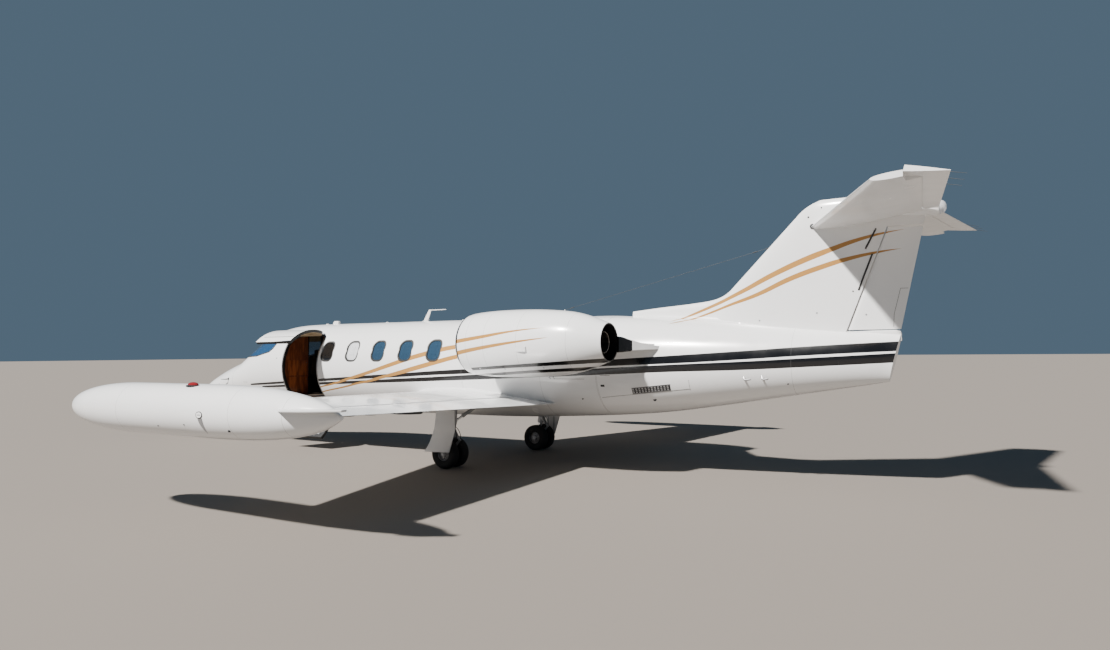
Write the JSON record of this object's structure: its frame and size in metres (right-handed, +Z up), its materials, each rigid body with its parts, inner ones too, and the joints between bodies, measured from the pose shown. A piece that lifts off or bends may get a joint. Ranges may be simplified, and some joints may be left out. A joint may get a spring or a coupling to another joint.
{
  "type": "business jet",
  "caption": "Straight-wing business jet with tip tanks, rear engines and a T-tail, parked on its gear with its cabin door open.",
  "frame": {"origin": "on the ground, under the middle of the overall length, on the centre plane", "axes": "-Y towards the nose, +X to the port side with the cabin door, +Z up"},
  "size_m": [12.07, 14.758, 3.708],
  "materials": {
    "white_paint": "gloss white paint, clear-coated",
    "black_paint": "gloss black paint of the stripes",
    "gold_paint": "gloss metallic gold paint of the stripes",
    "polished_metal": "polished bare metal",
    "gear_metal": "satin grey paint with oily marks",
    "chrome_rod": "bright chrome",
    "wheel_alloy": "satin, brake dust in the recesses",
    "tyre_rubber": "matt black rubber",
    "engine_metal": "heat-stained bare metal",
    "fan_metal": "satin titanium",
    "clear_glass": "polished, faint blue tint",
    "dark_panel": "satin black",
    "wood_veneer": "lacquered dark veneer",
    "dark_leather": "satin",
    "tan_leather": "satin",
    "carpet": "cut pile",
    "cabin_lining": "matt cloth",
    "black_rubber": "matt",
    "lamp_red": "clear red",
    "lamp_clear": "clear"
  },
  "bodies": {
    "airframe": {"nose_cone": "white_paint", "cabin_shell": "white_paint", "rear_fuselage": "white_paint", "tail_cone": "white_paint", "fin": "white_paint", "stabiliser": "white_paint", "wing_left": "white_paint", "wing_right": "white_paint", "tip_tank_left": "white_paint", "tip_tank_right": "white_paint", "nacelle_left": "white_paint", "nacelle_right": "white_paint", "engine_left": "engine_metal", "engine_right": "engine_metal", "pylon_left": "white_paint", "pylon_right": "white_paint", "main_leg_left": "gear_metal", "main_leg_right": "gear_metal", "gear_door_left": "white_paint", "gear_door_right": "white_paint", "side_brace_left": "gear_metal", "side_brace_right": "gear_metal", "windshield_left": "clear_glass", "windshield_right": "clear_glass", "nose_door_left": "white_paint", "nose_door_right": "white_paint", "pilot_seat_left": "dark_leather", "pilot_seat_right": "dark_leather", "cabin_seats_left": "tan_leather", "cabin_seats_right": "tan_leather", "nose_leg": "gear_metal", "cabin_floor": "carpet", "instrument_panel": "dark_panel", "divider_left": "wood_veneer", "divider_right": "wood_veneer"},
    "rudder": {"rudder": "white_paint"},
    "elevator_left": {"elevator_left": "white_paint"},
    "elevator_right": {"elevator_right": "white_paint"},
    "aileron_left": {"aileron_left": "white_paint"},
    "aileron_right": {"aileron_right": "white_paint"},
    "flap_left": {"flap_left": "white_paint"},
    "flap_right": {"flap_right": "white_paint"},
    "spoiler_left": {"spoiler_left": "white_paint"},
    "spoiler_right": {"spoiler_right": "white_paint"},
    "fan_left": {"fan_left": "fan_metal"},
    "fan_right": {"fan_right": "fan_metal"},
    "main_wheels_left": {"wheel_inner_left": "wheel_alloy", "wheel_outer_left": "wheel_alloy", "tyre_inner_left": "tyre_rubber", "tyre_outer_left": "tyre_rubber"},
    "main_wheels_right": {"wheel_inner_right": "wheel_alloy", "wheel_outer_right": "wheel_alloy", "tyre_inner_right": "tyre_rubber", "tyre_outer_right": "tyre_rubber"},
    "nose_steering": {"nose_fork": "gear_metal"},
    "nose_roller": {"nose_wheel": "wheel_alloy", "nose_tyre": "tyre_rubber"},
    "door_upper": {"door_upper": "white_paint"},
    "door_lower": {"door_lower": "white_paint"}
  },
  "joints": [
    {"name": "rudder_hinge", "type": "hinge", "parent": "airframe", "child": "rudder", "pos_m": [0, 6.04151, 1.99], "axis": [0, 0.3539, 0.9353], "range_deg": [-30, 30]},
    {"name": "elevator_hinge_left", "type": "hinge", "parent": "airframe", "child": "elevator_left", "pos_m": [0, 6.916, 3.47523], "axis": [0.9948, 0.1019, 0.0089], "range_deg": [0, 30]},
    {"name": "elevator_hinge_right", "type": "hinge", "parent": "airframe", "child": "elevator_right", "pos_m": [0, 6.916, 3.47523], "axis": [0.9948, -0.1019, -0.0089], "range_deg": [0, 30]},
    {"name": "aileron_hinge_left", "type": "hinge", "parent": "airframe", "child": "aileron_left", "pos_m": [3.76, 1.65522, 1.09848], "axis": [0.9923, 0.1194, 0.0329], "range_deg": [-18, 18]},
    {"name": "aileron_hinge_right", "type": "hinge", "parent": "airframe", "child": "aileron_right", "pos_m": [-3.76, 1.65522, 1.09848], "axis": [0.9923, -0.1194, -0.0329], "range_deg": [-18, 18]},
    {"name": "flap_hinge_left", "type": "hinge", "parent": "airframe", "child": "flap_left", "pos_m": [0.8, 1.29891, 1.00023], "axis": [0.9923, 0.1194, 0.0329], "range_deg": [-40, 0]},
    {"name": "flap_hinge_right", "type": "hinge", "parent": "airframe", "child": "flap_right", "pos_m": [-0.8, 1.29891, 1.00023], "axis": [0.9923, -0.1194, -0.0329], "range_deg": [-40, 0]},
    {"name": "spoiler_hinge_left", "type": "hinge", "parent": "airframe", "child": "spoiler_left", "pos_m": [1.7, 1.11653, 1.10816], "axis": [0.9891, 0.1453, 0.0251], "range_deg": [0, 47]},
    {"name": "spoiler_hinge_right", "type": "hinge", "parent": "airframe", "child": "spoiler_right", "pos_m": [-1.7, 1.11653, 1.10816], "axis": [0.9891, -0.1453, -0.0251], "range_deg": [0, 47]},
    {"name": "fan_spin_left", "type": "hinge", "parent": "airframe", "child": "fan_left", "pos_m": [1.25, 1.2305, 1.862], "axis": [0, 1, 0], "continuous": true},
    {"name": "fan_spin_right", "type": "hinge", "parent": "airframe", "child": "fan_right", "pos_m": [-1.25, 1.2305, 1.862], "axis": [0, 1, 0], "continuous": true},
    {"name": "main_roll_left", "type": "hinge", "parent": "airframe", "child": "main_wheels_left", "pos_m": [1.257, 0.4505, 0.222], "axis": [1, 0, 0], "continuous": true},
    {"name": "main_roll_right", "type": "hinge", "parent": "airframe", "child": "main_wheels_right", "pos_m": [-1.257, 0.4505, 0.222], "axis": [1, 0, 0], "continuous": true},
    {"name": "nose_steer", "type": "hinge", "parent": "airframe", "child": "nose_steering", "pos_m": [0, -5.6995, 0.6], "axis": [0, 0, 1], "range_deg": [-45, 45]},
    {"name": "nose_roll", "type": "hinge", "parent": "nose_steering", "child": "nose_roller", "pos_m": [0, -5.6995, 0.228], "axis": [1, 0, 0], "continuous": true},
    {"name": "door_upper_hinge", "type": "hinge", "parent": "airframe", "child": "door_upper", "pos_m": [0.51711, -3.4545, 2.11402], "axis": [0, 1, 0], "range_deg": [0, 63.5]},
    {"name": "door_lower_hinge", "type": "hinge", "parent": "airframe", "child": "door_lower", "pos_m": [0.34092, -3.4545, 0.76007], "axis": [0, 1, 0], "range_deg": [-111, 0]}
  ],
  "couplings": [
    {"joint": "elevator_hinge_right", "follows": "elevator_hinge_left", "ratio": 1},
    {"joint": "aileron_hinge_right", "follows": "aileron_hinge_left", "ratio": -1},
    {"joint": "flap_hinge_right", "follows": "flap_hinge_left", "ratio": 1},
    {"joint": "spoiler_hinge_right", "follows": "spoiler_hinge_left", "ratio": 1}
  ]
}
